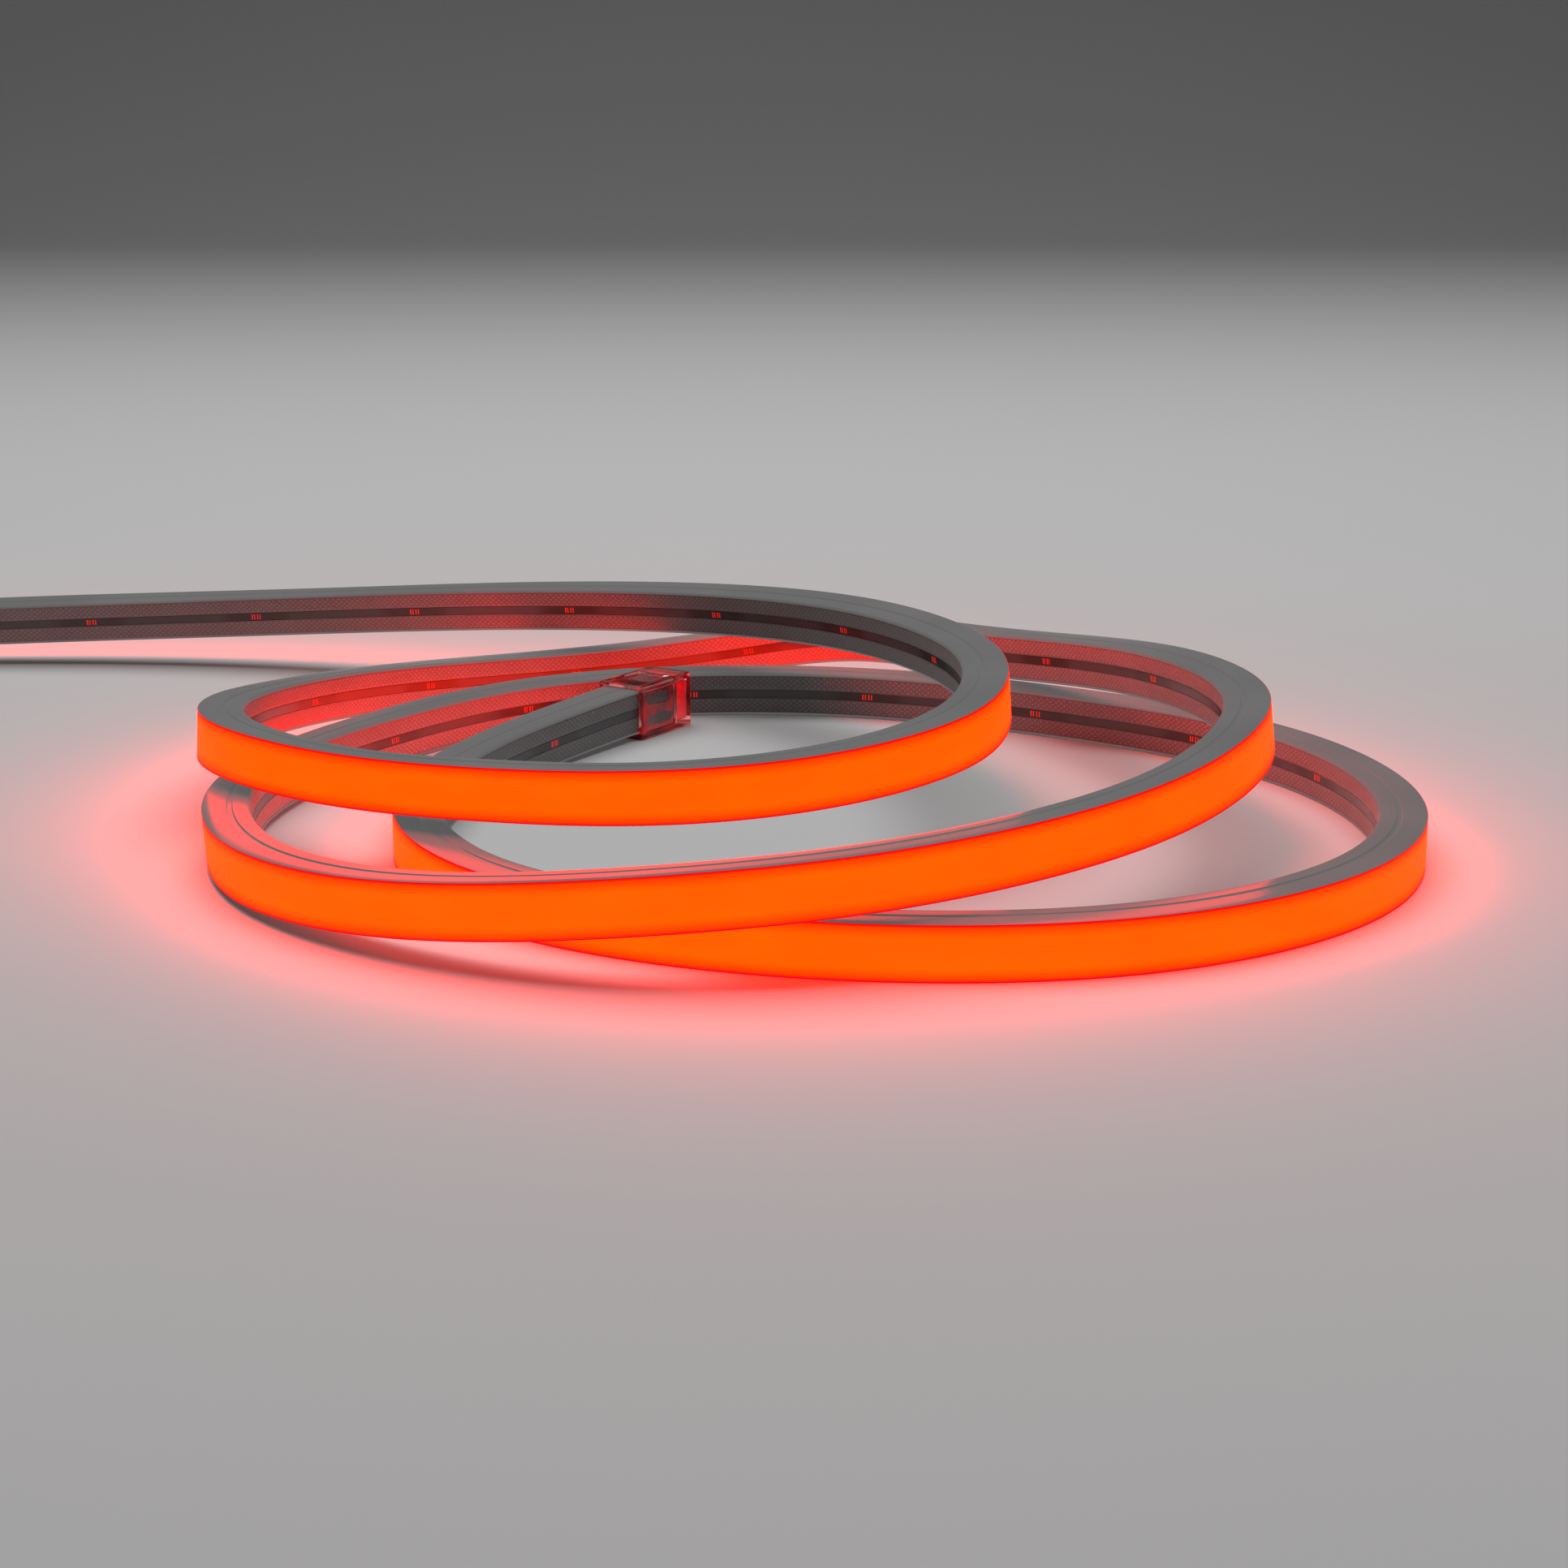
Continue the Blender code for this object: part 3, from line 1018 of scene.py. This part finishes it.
    def board(self) -> Shape:
        """The flexible board in its pocket behind the bar."""
        back = FLEX.back + FLEX.back_wall + FLEX.gap
        half = FLEX.strip_width / 2
        front = back + FLEX.strip_thickness
        section = mirrored(np.array([(back, half - 0.1 * MM), (front, half)]) - (0, 0.05 * MM))[::-1]
        return swept(self.stepped(2 * self.station_step, 0.4 * MM), section)

    def diodes(self) -> Shape:
        """The diodes on the board, evenly spaced between the cut marks."""
        marks = self.mark_places()
        between = (np.arange(self.diodes_per_mark) + 0.5) / self.diodes_per_mark
        places = (marks[:-1, None] + np.diff(marks)[:, None] * between[None, :]).ravel()
        base = FLEX.back + FLEX.back_wall + FLEX.gap + FLEX.strip_thickness + 0.02 * MM
        length, height = self.diode_half
        depths = (base, base + self.diode_thickness)
        return blocks(self.stations.at(places), np.full(len(places), length), depths, (-height, height))

    def build(self) -> None:
        """Builds and dresses every piece of the flex."""
        rings = self.stepped(self.station_step)
        wall_shape = swept(rings, self.wall_section())
        walls = piece_of(wall_shape, "flex_walls", [WallSilicone().material()])
        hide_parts("jacket")
        grip = piece_of(self.grip(), "flex_grip", [GripSilicone().material()], smooth=False)
        window = piece_of(self.window(), "flex_window", [WindowSilicone().material()])
        slits = piece_of(self.slits(), "cut_slits", [SlitGlow().material()], smooth=False)
        bar_looks = [LitSilicone().material(), MilkySilicone().material()]
        bar = piece_of(swept(rings, self.bar_section()), "lit_bar", bar_looks)
        self._dress_bar(bar)
        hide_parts("diffuser")
        board = piece_of(self.board(), "led_board", [BoardCoat().material()])
        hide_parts("led_strip")
        diodes = piece_of(self.diodes(), "led_diodes", [DiodeBody().material()], smooth=False)
        self.pieces = [walls, grip, window, slits, bar, board, diodes]

    def _dress_bar(self, bar: bpy.types.Object) -> None:
        """Gives the milky finish to all faces of the bar but those of its lit face.

        Args:
            bar: the bar's object.
        """
        columns = len(self.bar_section())
        count = len(bar.data.polygons)
        column = np.arange(count) % columns
        lit = (column >= self.FIRST_LIT) & (column < columns - 1 - self.FIRST_LIT)
        # The last two faces are the bar's cut ends.
        lit[-2:] = False
        bar.data.polygons.foreach_set("material_index", np.where(lit, 0, 1).astype(np.int32))


@dataclass
class ClearCap:
    """A clear moulded cap: a box with a socket for the flex and a solid block behind it.

    Attributes:
        name: the cap's name in the CAD part.
        mouth: middle of its mouth.
        degrees: the way from the mouth into the cap, as a heading.
        back_side: the side that the flex's back faces, counted from the top over the right one.
        arc_points: points of each rounded corner.
        cavity_inset: how much narrower than the socket the glue cavity behind it is, on each side.
        cavity_length: length of that cavity.
        film_middle: how far the middle of the glue film lies outside the flex.
        film_thickness: thickness of the film.
        film_step: distance between two of its rings.
        film_ends: from the mouth to the film's start, and from its end to the socket's.
        bare: start and end of the film's windows, from the mouth.
        glue_edge: width of the glue line at each edge of a side, as a share of the side.
        glue_line: half width of the glue line along the middle of the back, as a share of it.
        plug_gap: gap between the cavity and the glue in it.
        plug_corner: corner radius of that glue.
    """

    name: str
    mouth: np.ndarray
    degrees: float
    back_side: int
    arc_points: int = 5
    cavity_inset: float = 1.0 * MM
    cavity_length: float = 6.2 * MM
    film_middle: float = 0.15 * MM
    film_thickness: float = 0.16 * MM
    film_step: float = 0.35 * MM
    film_ends: tuple[float, float] = (0.7 * MM, 0.6 * MM)
    bare: tuple[float, float] = (4.4 * MM, 16.8 * MM)
    glue_edge: float = 0.10
    glue_line: float = 0.13
    plug_gap: float = 0.06 * MM
    plug_corner: float = 0.6 * MM

    # Places along a side as shares of it, and how deep the sunken panel is there.
    SIDE: ClassVar[tuple] = (
        (0.03, 0.0), (0.085, 0.0), (0.115, 1.0), (0.3, 1.0), (0.5, 1.0),
        (0.7, 1.0), (0.885, 1.0), (0.915, 0.0), (0.97, 0.0),
    )

    def rings(self, x: np.ndarray, inside: np.ndarray, corner: np.ndarray, shares: np.ndarray) -> np.ndarray:
        """Rounded rectangles: an arc at each corner, and points on the straight between two arcs.

        Args:
            x: how far each ring lies behind the mouth.
            inside: how far it lies inside the cap's outer size.
            corner: its corner radius.
            shares: places of the points on a straight, as shares of its length.

        Returns:
            Points as (rings, points, 3) in the cap's own axes: x from the mouth, y to the left and z up
            from the middle. A ring runs anticlockwise from the start of its upper left corner.
        """
        half_width = FLEX.depth / 2 + FLEX.gap + CAP.wall - inside
        half_height = FLEX.height / 2 + FLEX.gap + CAP.wall - inside
        signs = ((1, 1), (-1, 1), (-1, -1), (1, -1))
        arcs = []
        for k, (sx, sy) in enumerate(signs):
            angles = np.radians(np.linspace(0, 90, self.arc_points) + 90 * k)
            y = sx * (half_width - corner)[:, None] + corner[:, None] * np.cos(angles)[None, :]
            z = sy * (half_height - corner)[:, None] + corner[:, None] * np.sin(angles)[None, :]
            arcs.append(np.stack([np.broadcast_to(x[:, None], y.shape), y, z], axis=-1))
        rows = []
        for k in range(4):
            start, end = arcs[k][:, -1:], arcs[(k + 1) % 4][:, :1]
            rows += [arcs[k], start + (end - start) * shares[None, :, None]]
        return np.concatenate(rows, axis=1)

    def shell(self) -> Shape:
        """The cap as one surface, from the glue cavity behind the socket to the mouth and round to the end.

        Each row gives a place along the cap, how far the ring lies inside the outer size, its corner
        radius and how deep the panels are. The panels are sunk into the top and the two sides.

        Returns:
            The closed shape, with the attribute rim, which is 1 on its frame and 0 inside and on the panels.
        """
        inset, m, e = CAP.wall, CAP.mouth_edge, CAP.edge
        bend = [(1 - math.cos(a), 1 - math.sin(a)) for a in np.radians((0, 30, 60, 90))]
        end_bend = [(1 - math.cos(a), math.sin(a)) for a in np.radians((0, 22.5, 45, 67.5, 90))]
        deep = inset + self.cavity_inset
        rows = [(CAP.socket + self.cavity_length, deep, CAP.inner_edge, 0.0)]
        rows += [(CAP.socket, deep, CAP.inner_edge, 0.0)]
        rows += [(CAP.socket, inset, CAP.inner_edge, 0.0), (CAP.socket * 0.5, inset, CAP.inner_edge, 0.0)]
        inner = len(rows)
        rows += [(m * a, inset - m * b, CAP.inner_edge, 0.0) for b, a in bend]
        rows += [(m * b, m * a, e, 0.0) for b, a in bend]
        first, last, bevel = CAP.rim, CAP.socket - CAP.rim, 0.2 * MM
        rows += [(first - bevel, 0.0, e, 0.0), (first + bevel, 0.0, e, 1.0)]
        rows += [(CAP.socket / 2, 0.0, e, 1.0)]
        rows += [(last - bevel, 0.0, e, 1.0), (last + bevel, 0.0, e, 0.0)]
        rows += [(CAP.length - e + e * b, e * a, e - 0.6 * e * a, 0.0) for a, b in end_bend]
        x, inside, corner, sunk = np.array(rows).T
        places, deepness = np.array(self.SIDE).T
        points = self.rings(x, inside, corner, places)
        per_side = self.arc_points + len(self.SIDE)
        # The top, the right and the left side, with the axis and sign that lead inwards.
        for side, axis, sign in ((0, 2, -1), (1, 1, 1), (3, 1, -1)):
            columns = side * per_side + self.arc_points + np.arange(len(self.SIDE))
            points[:, columns, axis] += sign * sunk[:, None] * deepness * CAP.panel
        panels = np.tile(np.concatenate([np.zeros(self.arc_points), deepness]), 4)
        rim = (np.arange(len(x)) >= inner)[:, None] * (1 - sunk[:, None] * panels[None, :])
        return tube(self.placed(points), {"rim": rim.ravel()})

    def placed(self, points: np.ndarray) -> np.ndarray:
        """Points of the cap's own axes in the part's frame."""
        ahead = heading(self.degrees)
        return self.mouth + points @ np.array([ahead, [-ahead[1], ahead[0], 0.0], [0.0, 0.0, 1.0]])

    def glue(self) -> Shape:
        """The glue film between flex and cap, with bare windows in it.

        The film is a grid of rings and columns. Its quads are left out inside a window: where the place
        along the cap, moved by a sum of sines of the way round, lies between the two end bands, and the
        place across a side, moved by sines of the way along, lies between that side's glue lines. The
        back has a glue line over its channel as well, so it has two windows.

        Returns:
            The open film, which is thickened afterwards.
        """
        shares = np.linspace(0.02, 0.98, 33)
        rings = round((CAP.socket - 2 * MM) / self.film_step)
        x = np.linspace(self.film_ends[0], CAP.socket - self.film_ends[1], rings)
        inside = np.full(rings, FLEX.gap + CAP.wall - self.film_middle)
        points = self.rings(x, inside, np.full(rings, FLEX.corner), shares)
        columns = points.shape[1]
        per_side = self.arc_points + len(shares)
        column = np.arange(columns)
        side, place = column // per_side, column % per_side - self.arc_points
        across = np.where(place >= 0, shares[np.maximum(place, 0)], 0.0)
        turn = 2 * math.pi * column / columns
        wave = np.sin(5 * turn + 0.4) + 0.7 * np.sin(11 * turn + 1.9) + 0.5 * np.sin(23 * turn)
        ripple = np.sin(x * 900 + 1.0) + 0.7 * np.sin(x * 2300)
        start, end = self.bare
        open_along = (x[:, None] > start + 0.35 * MM * wave) & (x[:, None] < end + 0.5 * MM * wave)
        shifted = across[None, :] + 0.012 * ripple[:, None]
        open_across = (shifted > self.glue_edge) & (shifted < 1 - self.glue_edge)
        back = side == self.back_side
        open_across &= ~(back[None, :] & (np.abs(shifted - 0.5) < self.glue_line))
        bare = open_along & open_across
        quads = ring_quads(rings, columns)
        filled = ~bare[:-1].ravel()
        return Shape(self.placed(points).reshape(-1, 3), quads[filled])

    def plug(self) -> Shape:
        """The glue that fills the cavity behind the flex: a rounded bar a little smaller than it.

        Returns:
            The closed shape. Its rings stand at the places in bend, and are narrower by the second
            number there, both in millimetres.
        """
        shares = np.array([0.2, 0.5, 0.8])
        inside = CAP.wall + self.cavity_inset + self.plug_gap
        full = self.cavity_length / MM - 0.1
        bend = [(0.0, 0.5), (0.12, 0.2), (0.4, 0.0), (full / 2, 0.0)]
        bend += [(full - 0.4, 0.0), (full - 0.12, 0.2), (full, 0.5)]
        x, extra = (np.array(bend) * MM).T
        points = self.rings(CAP.socket + x, inside + extra, np.full(len(x), self.plug_corner), shares)
        return tube(self.placed(points), {})

    def build(
        self, plastic: bpy.types.Material, film: bpy.types.Material, filling: bpy.types.Material
    ) -> list:
        """Builds and dresses the cap's shell, glue film and glue plug.

        Args:
            plastic: the shell's material.
            film: the material of the glue round the flex.
            filling: the material of the glue behind it.

        Returns:
            The three objects.
        """
        shell = piece_of(self.shell(), self.name + "_shell", [plastic])
        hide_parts(self.name)
        glue = piece_of(self.glue(), self.name + "_glue", [film])
        solid = glue.modifiers.new("thickness", "SOLIDIFY")
        solid.thickness = self.film_thickness
        solid.offset = 0.0
        plug = piece_of(self.plug(), self.name + "_plug", [filling])
        return [shell, glue, plug]


@dataclass(frozen=True)
class Studio:
    """A plain pale floor that curves up behind, soft light from above, and the camera.

    Attributes:
        floor_level: grey of the floor.
        half_width: half width of the floor.
        front: where the floor begins.
        back: where it starts to curve up.
        curve: radius of the curve.
        top: height of its upper edge.
        lamp_power: power of the lamp in watts.
        lamp_size: width and depth of the lamp.
        lamp_place: middle of the lamp.
        lamp_tilt: turn of the lamp about X in degrees; untilted, it shines down.
        sky: strength of the even light from all round.
        lens: focal length of the camera in millimetres.
        sensor: width of its sensor in millimetres.
        eye: where the camera stands.
        pitch: how far it looks down in degrees.
    """

    floor_level: float = 0.68
    half_width: float = 8.0
    front: float = -8.0
    back: float = 2.6
    curve: float = 1.2
    top: float = 4.0
    lamp_power: float = 32.0
    lamp_size: tuple[float, float] = (2.6, 2.0)
    lamp_place: tuple[float, float, float] = (0.0, 0.45, 1.8)
    lamp_tilt: float = -12.0
    sky: float = 0.05
    lens: float = 65.3
    sensor: float = 36.0
    eye: tuple[float, float, float] = (0.0450, -0.9053, 0.2101)
    pitch: float = 14.16

    def floor(self) -> None:
        """The floor: a level stretch, a quarter circle and an upright stretch, carried across."""
        bend = np.radians(np.linspace(0, 90, 25))
        y = np.concatenate([[self.front], self.back + self.curve * np.sin(bend), [self.back + self.curve]])
        z = np.concatenate([[0.0], self.curve * (1 - np.cos(bend)), [self.top]])
        x = np.array([-self.half_width, self.half_width])
        points = np.stack(np.broadcast_arrays(x[None, :], y[:, None], z[:, None]), axis=-1)
        quads = ring_quads(len(y), 2, closed=False)
        mesh = bpy.data.meshes.new("studio_floor")
        mesh.from_pydata(points.reshape(-1, 3).tolist(), [], quads.tolist())
        mesh.polygons.foreach_set("use_smooth", np.ones(len(mesh.polygons), bool))
        paint = Paint("floor_paint")
        paint.set(Roughness=0.9, Specular_IOR_Level=0.1)
        cloud = paint.cloud(3.0)
        paint.into("Base Color", paint.blend(cloud, grey(self.floor_level * 0.98), grey(self.floor_level)))
        mesh.materials.append(paint.material)
        obj = linked("studio_floor", mesh)

    def light(self) -> None:
        """One large soft lamp overhead and a weak even light from all round."""
        data = bpy.data.lights.new("overhead", "AREA")
        data.shape = "RECTANGLE"
        data.energy = self.lamp_power
        data.size, data.size_y = self.lamp_size
        lamp = linked("overhead", data)
        lamp.location = self.lamp_place
        lamp.rotation_euler = (math.radians(self.lamp_tilt), 0.0, 0.0)
        world = bpy.data.worlds.new("studio")
        world.use_nodes = True
        background = world.node_tree.nodes["Background"]
        background.inputs["Color"].default_value = grey(1.0)
        background.inputs["Strength"].default_value = self.sky
        bpy.context.scene.world = world
        bpy.context.scene.view_settings.view_transform = "Standard"

    def camera(self) -> None:
        """The camera, which looks along +Y and down, and isn't rolled."""
        data = bpy.data.cameras.new("camera")
        data.sensor_fit = "HORIZONTAL"
        data.sensor_width = self.sensor
        data.lens = self.lens
        data.clip_start = 0.05
        data.clip_end = 50.0
        camera = linked("camera", data)
        camera.location = self.eye
        camera.rotation_euler = (math.radians(90.0 - self.pitch), 0.0, 0.0)
        bpy.context.scene.camera = camera


def main() -> None:
    """Builds the studio and every piece."""
    logging.basicConfig(level=logging.INFO, format="%(name)s: %(message)s")
    studio = Studio()
    studio.camera()
    studio.light()
    studio.floor()
    route = Route()
    flex = Flex(route.stations)
    LOG.info("flex length: %.3f m", flex.total)
    flex.build()
    finishes = (
        ClearPlastic().material(),
        GlueFilm("glue_film", strength=0.26, dim=0.2).material(),
        GlueFilm("glue_filling", strength=0.85, dim=0.6).material(),
    )
    end = ClearCap("end_cap", route.end_mouth, END_HEADING, back_side=1)
    tail = ClearCap("tail_cap", route.tail_mouth, TAIL_HEADING + 180.0, back_side=3)
    # The pieces of both caps, those of the end cap first.
    on_flex = [piece for cap in (end, tail) for piece in cap.build(*finishes)]
    tuple(float(value) for value in flex.middles()[0])
    flex.middles().tolist()


if __name__ == "__main__":
    main()
